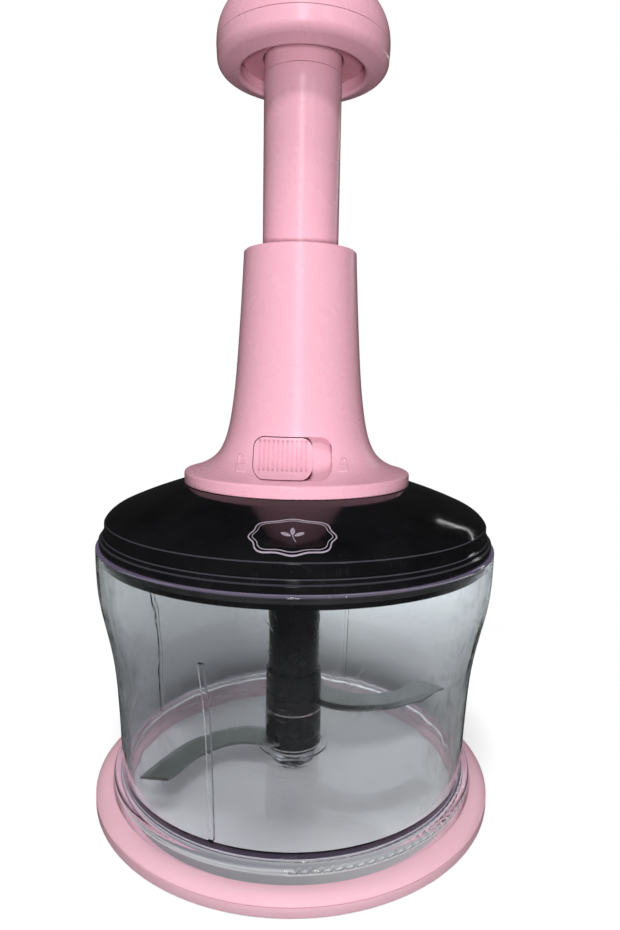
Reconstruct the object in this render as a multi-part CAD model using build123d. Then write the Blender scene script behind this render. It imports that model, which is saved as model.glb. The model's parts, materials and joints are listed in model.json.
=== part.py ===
from build123d import *
import os
from math import asin, degrees, pi

# A plunger food chopper, in millimetres: plunger up, lid on and lock open.
# The origin is the centre of the base's underside, +Z is up and the lock button faces -Y.

# ---------------------------------------------------------------- driving dimensions

rim_r = 77.5            # outside of the bowl's rim
wall = 2.4              # moulded wall of bowl, lid, housing and knob
gap = 0.3               # air between pieces that move apart
running = 0.05          # radial play of a turning or sliding fit
fastener_play = 0.02    # between a screw's shank and its hole
stroke = 68.0           # travel of the plunger
twist_lead = 34.0       # height of one whole turn of the twisted rod, left-handed
lock_travel = 9.5       # degrees that the lock ring turns

# Heights of the main levels
ledge_z = 2.0           # rebate in the base ring that carries the bowl's foot
base_top = 6.4
foot_top = 11.2         # shoulder of the bowl's foot
floor_low = 10.9
floor_top = 13.5
skirt_low = 96.5        # lower edge of the lid's plug
rim_z = 101.7           # top of the bowl
lid_low = rim_z + gap   # the lid's rest on the rim
deck_z = 123.8          # flat top of the lid, under the housing
flange_top = 128.4
neck_top = 212.4
tube_top = 275.0
knob_low = 275.7        # lowest point of the knob's lip
knob_seam = 284.6
knob_top = 304.2

# Radii
base_r = 79.2
base_hole_r = 66.8
foot_r = 72.3
body_low_r = 68.9       # outside of the bowl just above its foot
lid_r = 76.4
skirt_r = 74.2
deck_r = 45.0
flange_r = 44.3
neck_r = 21.6           # top of the neck
guide_r = 18.8          # bore of the neck
tube_r = 14.5
knob_r = 32.05
shaft_r = 10.4
hub_r = 11.4
core_r = 7.0
pin_r = 3.0

# Radii of edges
crisp = 0.3
eased = 0.5
rounded = 1.0


# ---------------------------------------------------------------- helpers

def at(r, z):
    """A point of a turned outline."""
    return (r, 0, z)


def chain(*corners, close=False):
    """Straight lines through (radius, height), with a fillet where a corner has a third value."""
    points = [at(corner[0], corner[1]) for corner in corners]
    fillets = [corner[2] if len(corner) > 2 else 0 for corner in corners]
    if not any(fillets):
        return Polyline(*points, close=close)
    if close:
        return FilletPolyline(*points, radius=fillets, close=True)
    return FilletPolyline(*points, radius=fillets[1:-1])


def curve(points):
    """Smooth curve through (radius, height)."""
    return Spline(*[at(r, z) for r, z in points])


def moved_aside(line, offset, steps=40):
    """Points along a curve, moved to its right by `offset`."""
    points = []
    for step in range(steps + 1):
        here = line @ (step / steps)
        along = line % (step / steps)
        points.append((here.X + offset * along.Z, here.Z - offset * along.X))
    return points


def turned(*corners):
    """Solid of revolution about Z. A corner is (radius, height) or (radius, height, fillet)."""
    return revolve(make_face(chain(*corners, close=True)), Axis.Z)


def turned_runs(*runs):
    """Solid of revolution about Z from lines and curves that follow each other."""
    edges = [edge for run in runs for edge in run.edges()]
    return revolve(make_face(edges), Axis.Z)


def tube(inner_r, outer_r, low, high):
    """Plain ring between two heights."""
    return turned((inner_r, low), (outer_r, low), (outer_r, high), (inner_r, high))


def rod(r, low, high):
    """Plain round bar on the axis between two heights."""
    return Pos(0, 0, low) * Cylinder(r, high - low, align=(Align.CENTER, Align.CENTER, Align.MIN))


def hexagon(across_flats, low, high):
    """Six-sided bar on the axis between two heights."""
    face = RegularPolygon(across_flats / 2, 6, major_radius=False)
    return Pos(0, 0, low) * extrude(face, high - low)


def square(width, low, high):
    """Four-sided bar on the axis between two heights."""
    return Pos(0, 0, low) * Box(width, width, high - low, align=(Align.CENTER, Align.CENTER, Align.MIN))


def is_level(edge):
    """True for an edge that lies in a level plane."""
    return abs(edge.position_at(0).Z - edge.position_at(1).Z) < 1e-6


def sector(inner_r, outer_r, low, high, middle, half_angle, corner_r=0):
    """Piece of a ring, centred on the bearing `middle`, with its four radial edges rounded."""
    outline = chain((inner_r, low), (outer_r, low), (outer_r, high), (inner_r, high), close=True)
    piece = revolve(make_face(outline), Axis.Z, revolution_arc=2 * half_angle)
    if corner_r:
        radial = [edge for edge in piece.edges() if edge.geom_type == GeomType.LINE and is_level(edge)]
        piece = fillet(radial, corner_r)
    return Rot(0, 0, middle - half_angle) * piece


def on_circle(piece, radius, bearings):
    """Copies of a piece that stands on the axis, moved out to a radius at each bearing."""
    return [Rot(0, 0, bearing) * Pos(radius, 0, 0) * piece for bearing in bearings]


def group(pieces):
    """Separate solids that share one node."""
    return Compound([solid for piece in pieces for solid in piece.solids()])


def cross_slot(length, width, depth, middle_z):
    """Two crossed boxes, cut into a screw's head."""
    slot = Pos(0, 0, middle_z) * Box(length, width, depth)
    return slot + Rot(0, 0, 90) * slot


def screw(seat, head_r, head_h, shank_r, shank_l):
    """Cross-head screw whose head hangs below `seat` and whose shank points up."""
    body = turned((0, seat - head_h), (head_r, seat - head_h, 0.3 * head_h), (head_r, seat), (shank_r, seat),
                  (shank_r, seat + shank_l - shank_r), (0, seat + shank_l))
    return body - cross_slot(1.3 * head_r, 0.28 * head_r, head_h, seat - head_h)


# ---------------------------------------------------------------- base

pad_half_angle = 13.0
pad_t = 1.6
pad_inner_r = 69.5
pad_outer_r = 76.0
pad_bearings = (45, 135, 225, 315)
parting_z = 3.7         # fine groove round the base ring
parting_depth = 0.4
groove_w = 0.25


def base_ring():
    rebate_r = foot_r + gap
    above_groove = (base_r - 0.1, parting_z + groove_w)
    inner_edge = (rebate_r + 0.4, base_top)
    crown = curve((above_groove, (base_r - 1.7, 5.4), (base_r - 3.9, 6.3), inner_edge))
    rest = chain(inner_edge, (rebate_r, base_top - 0.4), (rebate_r, ledge_z), (base_hole_r, ledge_z),
                 (base_hole_r, 0), (base_r - eased, 0), (base_r, eased), (base_r, parting_z),
                 (base_r - parting_depth, parting_z), (base_r - parting_depth, parting_z + groove_w),
                 above_groove)
    ring = turned_runs(crown, rest)
    for pad in pads():
        ring -= pad
    return ring


def pads():
    return [sector(pad_inner_r, pad_outer_r, 0, pad_t, bearing, pad_half_angle) for bearing in pad_bearings]


def base_pads():
    return group(pads())


# ---------------------------------------------------------------- bowl

foot_low = ledge_z + gap
foot_ceiling = 8.8      # underside of the shoulder, inside the hollow foot
foot_step_r = 66.5      # where the shoulder meets the floor's underside
rim_round = 0.9
rib_t = 1.8             # low ribs run up the inside of the wall
rib_h = 1.1
rib_top = 77.0
rib_bearings = (67, 157, 247, 337)
boss_r = 9.0            # boss under the floor that carries the pin
boss_low = 5.6
pin_low = 7.0
pin_top = 52.0
disc_r = 19.0           # raised disc in the middle of the floor
disc_slope_w = 8.0      # its edge slopes down over this width
disc_top = floor_top + 0.4
collar_out_r = 14.4     # low collar round the rotor's foot
collar_in_r = 12.3
collar_ridge_z = 14.3

# Outside of the bowl's wall, from its foot up: nearly upright, then swelling to the rim
wall_points = ((body_low_r, floor_top), (69.4, 25.0), (70.3, 43.0), (71.9, 59.0), (74.4, 71.5), (76.6, 82.5),
               (77.4, 93.0), (rim_r, rim_z))


def bowl():
    outer = curve(wall_points)
    inner = curve([(r - wall, z) for r, z in wall_points])
    floor = chain((body_low_r - wall, floor_top), (disc_r + disc_slope_w, floor_top), (disc_r, disc_top),
                  (collar_out_r, disc_top), (collar_out_r, collar_ridge_z, crisp),
                  (collar_in_r, collar_ridge_z, crisp), (collar_in_r, floor_top), (pin_r, floor_top),
                  (pin_r, pin_low), (0, pin_low), (0, boss_low), (boss_r, boss_low, rounded),
                  (boss_r, floor_low, rounded), (foot_step_r, floor_low, eased), (foot_step_r, foot_ceiling),
                  (foot_r - wall, foot_ceiling, rounded), (foot_r - wall, foot_low), (foot_r, foot_low, crisp),
                  (foot_r, foot_top, 1.3), (body_low_r, foot_top, eased), (body_low_r, floor_top))
    shell = turned_runs(outer, Line(outer @ 1, inner @ 1), inner, floor)
    rim_edges = shell.edges().filter_by(lambda edge: abs(edge.center().Z - rim_z) < 0.01)
    shell = fillet(rim_edges, rim_round)
    crest = curve([(r - wall - rib_h, z) for r, z in wall_points])
    raised = turned_runs(outer, Line(outer @ 1, crest @ 1), crest, Line(crest @ 0, outer @ 0))
    blank = Pos(0, 0, floor_top) * Box(rim_r, rib_t, rib_top - floor_top,
                                       align=(Align.MIN, Align.CENTER, Align.MIN))
    for bearing in rib_bearings:
        shell += (Rot(0, 0, bearing) * blank) & raised
    return shell


def centre_pin():
    return turned((0, pin_low), (pin_r, pin_low), (pin_r, pin_top, 1.2), (0, pin_top))


# ---------------------------------------------------------------- rotor

cap_low = floor_top + gap
cap_top = 15.2
washer_t = 0.6
washer_r = hub_r + 0.2
lower_hub_top = 30.2
upper_hub_top = 46.5
shaft_top = 102.0
core_top = 86.0
core_bore_r = 2.0
core_bore_low = pin_top + 4
bush_r = 4.2            # outside of the bush that runs on the pin
bush_top = 48.0
socket_low = 89.6
drive_flats = 10.0      # across the flats of the hexagon that enters the shaft
socket_play = 0.2       # between each flat and its side of the socket

blade_t = 1.2
blade_eye_r = 9.4
upper_blade_z = 35.5
lower_blade_z = 18.0
upper_blade_turn = 5.8  # bearing of the upper blade's tip, in degrees
lower_blade_turn = 213.6
leading_edge = ((7.0, -8.0), (13.0, -14.3), (21.5, -17.2), (30.5, -17.6), (39.0, -16.4), (47.5, -13.2),
                (56.5, -8.2), (64.4, -2.6))
trailing_edge = ((57.0, 4.0), (52.0, 2.0), (46.0, -1.6), (39.5, -4.4), (32.5, -5.6), (25.5, -5.0),
                 (19.0, -1.6), (14.0, 3.2), (8.0, 6.0))
bevel_w = 2.6
bevel_t = 0.5


def blade_blank():
    """Sickle blade in the XY plane, with its tip towards +X and its middle at z = 0."""
    edges = (Spline(*leading_edge), Line(leading_edge[-1], trailing_edge[0]), Spline(*trailing_edge),
             Line(trailing_edge[-1], leading_edge[0]))
    arm = extrude(make_face([run.edge() for run in edges]), blade_t)
    top_face = arm.faces().sort_by(Axis.Z)[-1]
    sharp = top_face.edges().filter_by(GeomType.BSPLINE).sort_by(Axis.Y)[0]
    arm = chamfer(sharp, bevel_w, bevel_t, reference=top_face)
    blade = arm + rod(blade_eye_r, 0, blade_t)
    blade -= rod(core_r, -blade_t, 2 * blade_t)
    return Pos(0, 0, -blade_t / 2) * blade


def upper_blade():
    return Pos(0, 0, upper_blade_z) * Rot(0, 0, upper_blade_turn) * blade_blank()


def lower_blade():
    return Pos(0, 0, lower_blade_z) * Rot(0, 0, lower_blade_turn) * blade_blank()


def hub(low, high, blade):
    """Sleeve on the core, split by the blade that it clamps."""
    body = turned((core_r, low), (hub_r, low, crisp), (hub_r, high, eased), (core_r, high))
    return body - blade


def upper_hub():
    return hub(lower_hub_top + washer_t, upper_hub_top, upper_blade())


def lower_hub():
    return hub(cap_top + washer_t, lower_hub_top, lower_blade())


def hub_washers():
    lower = tube(bush_r, washer_r, cap_top, cap_top + washer_t)
    upper = tube(core_r, washer_r, lower_hub_top, lower_hub_top + washer_t)
    return group([lower, upper])


def shaft_end_cap():
    return turned((bush_r, cap_low), (hub_r - 0.6, cap_low, eased), (hub_r - 0.1, cap_top), (bush_r, cap_top))


def shaft_core():
    core_low = cap_top + washer_t
    return turned((bush_r, core_low), (core_r, core_low), (core_r, core_top), (core_bore_r, core_top),
                  (core_bore_r, core_bore_low), (bush_r, core_bore_low))


def pin_bush():
    return tube(pin_r + running, bush_r, cap_low + 0.2, bush_top)


def shaft_tube():
    body = turned((0, core_top), (core_r, core_top), (core_r, upper_hub_top), (shaft_r, upper_hub_top),
                  (shaft_r, shaft_top, eased), (0, shaft_top))
    return body - hexagon(drive_flats + 2 * socket_play, socket_low, shaft_top + 1)


# ---------------------------------------------------------------- lid

crease_r = 73.9         # lower edge of the dome, above the upright band
band_edge_r = 74.2
step_r = 75.1           # small step below the band
step_z = 105.8
lip_z = 104.0           # top of the lid's outer lip
plate_low = 96.9
plate_t = 2.2
plate_top = plate_low + plate_t
well_r = 20.0           # room in the lid under the neck
well_low = 104.5
well_floor = 107.0
bearing_r = 9.6
journal_r = 5.55
collar_r = shaft_r + 0.35
collar_low = 94.9
collar_high = 103.6
seal_low = 98.2
seal_h = 2.2
seal_groove_r = 73.0
seal_waist_r = 74.3
seal_r = 74.75
post_r = 3.6
post_circle_r = 52.0
post_bearings = (45, 135, 225, 315)
post_hole_l = 14.0
housing_screw_circle_r = 33.0
housing_screw_bearings = (90, 210, 330)
housing_screw_r = 1.5
plate_screw_r = 1.4
plate_head_r = 2.9
plate_sink = 1.4        # depth of the recess for each screw's head
loose_hole = 0.1        # radial play of a screw in the piece that it clamps

# Top of the lid, from the deck out to the crease: a straight slope that bends down near its edge
dome_points = ((deck_r, deck_z), (54.7, 120.7), (61.9, 118.0), (67.1, 115.8), (70.7, 113.9), (73.0, 111.9),
               (crease_r, 110.7))


def lid_shell():
    dome = curve(dome_points)
    under = moved_aside(dome, wall, steps=20)[::-1]
    edge = chain(dome_points[-1], (band_edge_r, 110.2, 0.4), (band_edge_r, step_z + 0.4),
                 (step_r, step_z, crisp), (step_r + 0.2, lip_z + eased),
                 (lid_r - 0.1, lip_z, crisp), (lid_r, lid_low, crisp), (skirt_r, lid_low),
                 (skirt_r, seal_low + seal_h),
                 (seal_groove_r, seal_low + seal_h), (seal_groove_r, seal_low), (skirt_r, seal_low),
                 (skirt_r, skirt_low), (skirt_r - wall, skirt_low), (skirt_r - wall, lip_z), under[0])
    middle = chain(under[-1], (well_r + wall, deck_z - wall, rounded), (well_r + wall, well_low),
                   (bearing_r, well_low), (bearing_r, well_floor), (well_r, well_floor, rounded),
                   (well_r, deck_z), dome_points[0])
    lid = turned_runs(dome, edge, curve(under), middle)
    under_dome = turned_runs(dome, chain(dome_points[-1], (crease_r, plate_top), (0, plate_top), (0, deck_z),
                                         dome_points[0]))
    for post in on_circle(rod(post_r, plate_top, deck_z), post_circle_r, post_bearings):
        lid += post & under_dome
    post_hole = rod(plate_screw_r + fastener_play, plate_low, plate_low + post_hole_l)
    for hole in on_circle(post_hole, post_circle_r, post_bearings):
        lid -= hole
    deck_hole = rod(housing_screw_r + loose_hole, deck_z - 2 * wall, deck_z + 1)
    for hole in on_circle(deck_hole, housing_screw_circle_r, housing_screw_bearings):
        lid -= hole
    return lid


def lid_underplate():
    plate_r = skirt_r - wall
    outer_r = collar_r + wall
    plate = turned((collar_r, collar_low), (outer_r, collar_low, eased), (outer_r, plate_low, eased),
                   (plate_r, plate_low), (plate_r, plate_top), (outer_r, plate_top, eased),
                   (outer_r, collar_high), (collar_r, collar_high))
    sunk = rod(plate_head_r + 0.2, plate_low - 1, plate_low + plate_sink)
    hole = rod(plate_screw_r + loose_hole, plate_low - 1, plate_top + 1)
    for piece in on_circle(sunk + hole, post_circle_r, post_bearings):
        plate -= piece
    return plate


def lid_seal():
    return turned((seal_groove_r, seal_low), (seal_waist_r, seal_low, crisp), (seal_r, seal_low + 0.7, crisp),
                  (seal_waist_r, seal_low + 1.1, 0.2), (seal_r, seal_low + 1.6, crisp),
                  (seal_waist_r, seal_low + seal_h, 0.2), (seal_groove_r, seal_low + seal_h))


def underplate_screws():
    one = screw(plate_low + plate_sink, plate_head_r, plate_sink - 0.1, plate_screw_r, 9.5)
    return group(on_circle(one, post_circle_r, post_bearings))


# ---------------------------------------------------------------- housing

front = 270.0           # bearing of -Y
slot_left = -16.0       # slot of the lock button
slot_right = 12.35
slot_low = 129.7
slot_high = 143.7
slot_corner = 4.4
inside_r = 18.9         # between the neck's bore and its skin
beyond_r = 50.0         # outside everything at the neck
nut_top = 192.5
bush_low = nut_top + 0.4
bush_high = 210.4
key_w = 2.7
key_in_r = 13.5
key_groove_top = tube_top - 2.5
key_top = key_groove_top - stroke - 0.7
screw_boss_r = 3.4
screw_boss_top = 134.0
screw_hole_top = 130.2
cavity_top = 147.0      # top of the hollow under the flare

# Outside of the neck, from the flange up: a short flare, then a long slow taper
neck_points = ((42.9, 128.8), (38.6, 130.2), (34.6, 132.3), (31.4, 135.1), (29.2, 138.8), (27.5, 143.8),
               (26.0, 151.5), (24.8, 161.0), (23.6, 176.0), (22.5, 194.0), (neck_r, neck_top - eased))


def flare_points(offset):
    """The neck's outline moved outwards by `offset`, as far up as the hollow goes."""
    return [point for point in moved_aside(curve(neck_points), offset) if point[1] < cavity_top]


def flare_shell(inner_offset, outer_offset):
    """Skin that follows the flare between two offsets from its outside."""
    outer = curve(flare_points(outer_offset))
    inner = curve(flare_points(inner_offset))
    return turned_runs(outer, Line(outer @ 1, inner @ 1), inner, Line(inner @ 0, outer @ 0))


def flare_filled(offset):
    """Everything inside the flare, less a skin."""
    points = flare_points(offset)
    low = points[0]
    top = points[-1]
    return turned_runs(curve(points), chain(top, (0, top[1]), (0, deck_z), (low[0], deck_z), low))


def front_block(left, right, low, high, corner_r):
    """Block with rounded corners that reaches through the front of the flare."""
    middle = ((left + right) / 2, -inside_r, (low + high) / 2)
    upright = Plane(origin=middle, x_dir=(1, 0, 0), z_dir=(0, -1, 0))
    face = upright * RectangleRounded(right - left, high - low, corner_r)
    return extrude(face, beyond_r - inside_r)


def housing_shell():
    outer = curve(neck_points)
    inner_points = flare_points(-wall)
    mouth_r = tube_r + 0.6
    flange_in_r = flange_r - wall
    top = chain(neck_points[-1], (neck_r - eased, neck_top), (mouth_r, neck_top), (mouth_r, bush_high),
                (guide_r, bush_high), (guide_r, cavity_top + 1), inner_points[-1])
    foot = chain(inner_points[0], (flange_in_r, deck_z + 1.8), (flange_in_r, deck_z), (flange_r, deck_z, eased),
                 (flange_r, flange_top, 0.9), neck_points[0])
    housing = turned_runs(outer, top, curve(inner_points), foot)
    filled = turned_runs(outer, chain(neck_points[-1], (0, neck_top - eased), (0, deck_z),
                                      (flange_r - 1, deck_z), (flange_r - 1, flange_top), neck_points[0]))
    boss = rod(screw_boss_r, deck_z, screw_boss_top)
    for piece in on_circle(boss, housing_screw_circle_r, housing_screw_bearings):
        housing += piece & filled
    hole = rod(housing_screw_r + fastener_play, deck_z - 1, screw_hole_top)
    for piece in on_circle(hole, housing_screw_circle_r, housing_screw_bearings):
        housing -= piece
    return housing - front_block(slot_left, slot_right, slot_low, slot_high, slot_corner)


def housing_screws():
    one = screw(deck_z - wall, 2.9, 2.0, housing_screw_r, 8.4)
    return group(on_circle(one, housing_screw_circle_r, housing_screw_bearings))


def neck_bush():
    sleeve = tube(tube_r + running, guide_r, bush_low, bush_high)
    key = Pos(0, key_in_r, bush_low) * Box(key_w, tube_r + rounded - key_in_r, key_top - bush_low,
                                           align=(Align.CENTER, Align.MIN, Align.MIN))
    return sleeve + key


# ---------------------------------------------------------------- lock

ring_low = deck_z + gap
ring_flange_low = 125.0
ring_top = 128.5
ring_inner_r = 19.0
ring_step_r = 21.0
ring_outer_r = 23.6
tab_inner_r = 15.1      # three tabs hold the nut down when the ring is turned
tab_top = 127.6
tab_half = 10.0
tab_bearings = (30, 150, 270)
band_depth = wall + 0.35     # the band runs this far below the neck's skin
band_t = 1.6
band_r = 37.0
band_top = 144.4
band_overlap = 1.5      # degrees that the band reaches past the slot's ends
slot_top_r = 27.6       # radius of the flare at the slot's top
band_from = front + degrees(asin(slot_left / slot_top_r)) - lock_travel - band_overlap
band_to = front + degrees(asin(slot_right / slot_top_r)) + band_overlap
web_low = 125.4
web_top = 127.5
button_play = 0.35
button_left = slot_left + button_play
button_right = 5.35
button_low = slot_low + button_play
button_high = slot_high - button_play
button_proud = 0.5
button_under = 1.7
stem_bearing = front - 10.0
stem_half = 6.0
stem_low = 133.5
stem_high = 139.0
rib_count = 11
rib_depth = 0.7
rib_pitch = 1.65
rib_groove_w = 0.85
rib_low = button_low + 2.2
rib_high = button_high - 0.8


def lock_stem(inner_offset, outer_offset):
    """Short neck that joins the button to the band behind the slot."""
    reach = sector(ring_inner_r, beyond_r, stem_low, stem_high, stem_bearing, stem_half)
    return flare_shell(inner_offset, outer_offset) & reach


def lock_ring():
    ring = turned((ring_inner_r, ring_flange_low), (ring_step_r, ring_flange_low), (ring_step_r, ring_low),
                  (ring_outer_r, ring_low), (ring_outer_r, ring_top), (ring_inner_r, ring_top))
    for bearing in tab_bearings:
        ring += sector(tab_inner_r, ring_inner_r + eased, ring_flange_low, tab_top, bearing, tab_half)
    band_half = (band_to - band_from) / 2
    band_middle = (band_to + band_from) / 2
    web = sector(ring_outer_r - eased, band_r - 1, web_low, web_top, band_middle, band_half)
    ring += web & flare_filled(-band_depth)
    reach = sector(ring_step_r, band_r, web_low, band_top, band_middle, band_half)
    ring += flare_shell(-band_depth - band_t, -band_depth) & reach
    return ring - lock_stem(-band_depth - 2 * band_t, 0)


def lock_button():
    face = front_block(button_left, button_right, button_low, button_high, slot_corner - button_play)
    button = flare_shell(-button_under, button_proud) & face
    skin = flare_shell(button_proud - rib_depth, button_proud + 1)
    first_x = (button_left + button_right - (rib_count - 1) * rib_pitch - rib_groove_w) / 2
    for number in range(rib_count):
        left = first_x + number * rib_pitch
        button -= skin & front_block(left, left + rib_groove_w, rib_low, rib_high, 0.4 * rib_groove_w)
    return button + lock_stem(-band_depth - band_t, 0.2 - button_under)


# ---------------------------------------------------------------- return spring

spring_r = 14.0
spring_wire_r = 0.7
spring_turns = 8
spring_pressed_l = 12.0
seat_top = 109.0
seat_in_r = 12.6
seat_rim_in_r = 15.3
seat_rim_out_r = 17.0
seat_rim_h = 3.0
nut_low = seat_top + spring_pressed_l + stroke


def spring_seat():
    seat_r = well_r - 0.1
    rim_high = seat_top + seat_rim_h
    return turned((seat_in_r, well_floor), (seat_r, well_floor, 1.1), (seat_r, seat_top),
                  (seat_rim_out_r, seat_top), (seat_rim_out_r, rim_high, eased),
                  (seat_rim_in_r, rim_high, eased), (seat_rim_in_r, seat_top), (seat_in_r, seat_top))


def coil(radius, wire_r, low, height, turns):
    """Round wire wound about Z, its middle line from `low` over `height`."""
    path = Pos(0, 0, low) * Helix(height / turns, height, radius)
    section = Plane(path @ 0, z_dir=path % 0) * Circle(wire_r)
    return sweep(section, path, is_frenet=True)


def return_spring():
    low = seat_top + spring_wire_r + running
    return coil(spring_r, spring_wire_r, low, nut_low - gap - spring_wire_r - low, spring_turns)


# ---------------------------------------------------------------- plunger

nut_r = 18.4
tube_bore_r = 12.3
spigot_r = tube_bore_r - running
spigot_top = nut_top + 8.5
notch_half = 12.0
notch_r = 14.8
nut_boss_circle_r = 10.1
nut_boss_r = 2.3
nut_boss_h = 8.0
nut_screw_r = 1.1
nut_head_r = 2.0
nut_sink = 1.5
nut_screw_bearings = (90, 210, 330)
web_under = 271.5       # closed top of the tube
pillar_r = 8.0
pillar_top = 284.6
knob_screw_r = 1.9
knob_head_r = 3.9
knob_head_h = 2.4
ceiling_z = 285.0       # roof of the recess under the knob
ceiling_top = ceiling_z + 2.5
recess_r = 23.1         # inside of the knob's lip
knob_boss_r = 14.4
boss_seat_r = 13.0      # the knob rests on the tube inside this radius
lip_slope_h = 2.2       # height by which the lip's underside rises outwards
lip_corner = 3.2
lip_round = 1.3
skin_r = 29.5           # inside of the knob's outer wall
channel_low = 281.2     # bottom of the groove that holds the cap's skirt
channel_in_r = 26.0
channel_in_low = 279.4
cap_skirt_r = 27.6
cap_skirt_low = 282.2
bumper_in_r = 14.8
bumper_out_r = 22.7
bumper_low = neck_top + stroke + 0.4
bar_w = 8.0             # section of the twisted rod
bar_t = 2.6
bar_play = 0.3
bar_low = 119.4
bar_top = web_under - stroke - 0.7


def plunger_tube():
    bore_r = knob_screw_r + fastener_play
    body = turned((tube_bore_r, nut_top), (tube_r, nut_top), (tube_r, tube_top), (pillar_r, tube_top),
                  (pillar_r, pillar_top), (bore_r, pillar_top), (bore_r, web_under), (tube_bore_r, web_under))
    shell = rod(tube_r, nut_top, web_under)
    boss = rod(nut_boss_r, spigot_top, spigot_top + nut_boss_h)
    for piece in on_circle(boss, nut_boss_circle_r, nut_screw_bearings):
        body += piece & shell
    hole = rod(nut_screw_r + fastener_play, spigot_top - 1, spigot_top + nut_boss_h - 1)
    for piece in on_circle(hole, nut_boss_circle_r, nut_screw_bearings):
        body -= piece
    groove = Box(key_w + gap, tube_r - key_in_r + 1, key_groove_top - nut_top,
                 align=(Align.CENTER, Align.MIN, Align.MIN))
    return body - Pos(0, key_in_r - 0.2, nut_top) * groove


def twisted_bar(width, thickness, low, high):
    """Flat bar on the axis with a left-handed twist; at `nut_low` its flats face +Y and -Y."""
    turn = -360 * (high - low) / twist_lead
    start = -360 * (low - nut_low) / twist_lead
    face = Pos(0, 0, low) * Rot(0, 0, start) * Rectangle(width, thickness)
    return Solid.extrude_linear_with_rotation(face.face(), (0, 0, low), (0, 0, high - low), turn)


def drive_nut():
    body = turned((0, nut_low), (nut_r, nut_low, 0.4), (nut_r, nut_top, 0.4), (spigot_r, nut_top),
                  (spigot_r, spigot_top), (0, spigot_top))
    for bearing in tab_bearings:
        body -= sector(notch_r, nut_r + 1, nut_low - 1, nut_top + 1, bearing, notch_half)
    sunk = rod(nut_head_r + 0.1, nut_low - 1, nut_low + nut_sink)
    hole = rod(nut_screw_r + fastener_play, nut_low - 1, spigot_top + 1)
    for piece in on_circle(sunk + hole, nut_boss_circle_r, nut_screw_bearings):
        body -= piece
    return body - twisted_bar(bar_w + 2 * bar_play, bar_t + 2 * bar_play, nut_low - 1, spigot_top + 1)


def nut_screws():
    seat = nut_low + nut_sink
    one = screw(seat, nut_head_r, nut_sink - 0.2, nut_screw_r, spigot_top + nut_boss_h - 2 - seat)
    return group(on_circle(one, nut_boss_circle_r, nut_screw_bearings))


def knob_ring():
    screw_r = knob_screw_r + gap
    roof_z = pillar_top + 0.1
    socket_r = pillar_r + 0.1
    seam_z = tube_top + groove_w
    return turned((knob_r, knob_seam), (skin_r, knob_seam), (skin_r, channel_low, rounded),
                  (channel_in_r, channel_in_low, rounded), (channel_in_r, ceiling_top), (screw_r, ceiling_top),
                  (screw_r, roof_z), (socket_r, roof_z), (socket_r, tube_top), (boss_seat_r, tube_top),
                  (boss_seat_r, seam_z), (knob_boss_r, seam_z), (knob_boss_r, ceiling_z),
                  (recess_r, ceiling_z, crisp), (recess_r, knob_low, lip_round),
                  (knob_r - 0.4, knob_low + lip_slope_h, lip_corner))


def knob_cap():
    low = knob_seam + groove_w
    rim_in = (28.9, 290.0)
    outer = Spline(at(knob_r, low), at(31.2, 291.4), at(29.0, 295.9), at(24.0, 300.4), at(14.0, 303.3),
                   at(0, knob_top), tangents=((0, 0, 1), (-1, 0, 0)))
    inner = Spline(at(0, knob_top - wall), at(13.4, 301.0), at(22.6, 298.2), at(27.0, 294.2), at(*rim_in),
                   tangents=((1, 0, 0), (0.3, 0, -1)))
    skirt_out_r = skin_r - 0.1
    skirt = chain(rim_in, (cap_skirt_r, ceiling_top + eased), (cap_skirt_r, cap_skirt_low),
                  (skirt_out_r, cap_skirt_low), (skirt_out_r, low), (knob_r, low))
    return turned_runs(outer, Line(at(0, knob_top), at(0, knob_top - wall)), inner, skirt)


def knob_screw():
    head_top = ceiling_top + knob_head_h
    low = web_under + eased
    body = turned((0, low), (knob_screw_r, low), (knob_screw_r, ceiling_top), (knob_head_r, ceiling_top),
                  (knob_head_r, head_top, rounded), (0, head_top))
    return body - cross_slot(1.3 * knob_head_r, 0.28 * knob_head_r, knob_head_h, head_top)


def bumper_ring():
    return turned((bumper_in_r, ceiling_z), (bumper_in_r, bumper_low, 0.8), (bumper_out_r, bumper_low, 0.8),
                  (bumper_out_r, ceiling_z))


# ---------------------------------------------------------------- twist drive

bearing_flange_r = 12.0
bearing_low = 103.4
bearing_top = 108.0
hex_low = 90.4
hex_top = 103.1
clip_low = 108.3
clip_t = 0.7
clip_r = 8.4
clip_groove_r = 4.7
clip_half_angle = 150.0
journal_top = 109.7
square_w = 7.0
square_top = 113.0
clutch_r = 11.6
clutch_spring_r = 10.2
clutch_wire_r = 0.4
clutch_spring_h = 2.2
teeth_inner_r = 6.6
teeth_outer_r = 11.2
ratchet_low = 111.2
teeth_low = 113.2
teeth_h = 1.8
teeth_top = teeth_low + teeth_h
tooth_count = 8
tooth_air = 0.6         # degrees between a tooth's end and its neighbour
ramp_share = 0.78       # of a tooth's height that its ramp climbs at the clutch's edge
ramp_air = 0.02
cut_size = 40.0         # a block that is larger than the clutch
driver_top = bar_low
root_r = 3.4
cross_z = 117.3
cross_r = 1.0


def spindle_bearing():
    bore_r = journal_r + running
    return turned((bore_r, bearing_low), (bearing_r, bearing_low), (bearing_r, well_floor),
                  (bearing_flange_r, well_floor), (bearing_flange_r, bearing_top, crisp), (bore_r, bearing_top))


def output_coupling():
    groove_low = clip_low - running
    groove_high = clip_low + clip_t + running
    body = turned((0, hex_top - eased), (journal_r, hex_top - eased), (journal_r, groove_low),
                  (clip_groove_r, groove_low), (clip_groove_r, groove_high), (journal_r, groove_high),
                  (journal_r, journal_top), (0, journal_top))
    return body + hexagon(drive_flats, hex_low, hex_top) + square(square_w, journal_top - eased, square_top)


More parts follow.
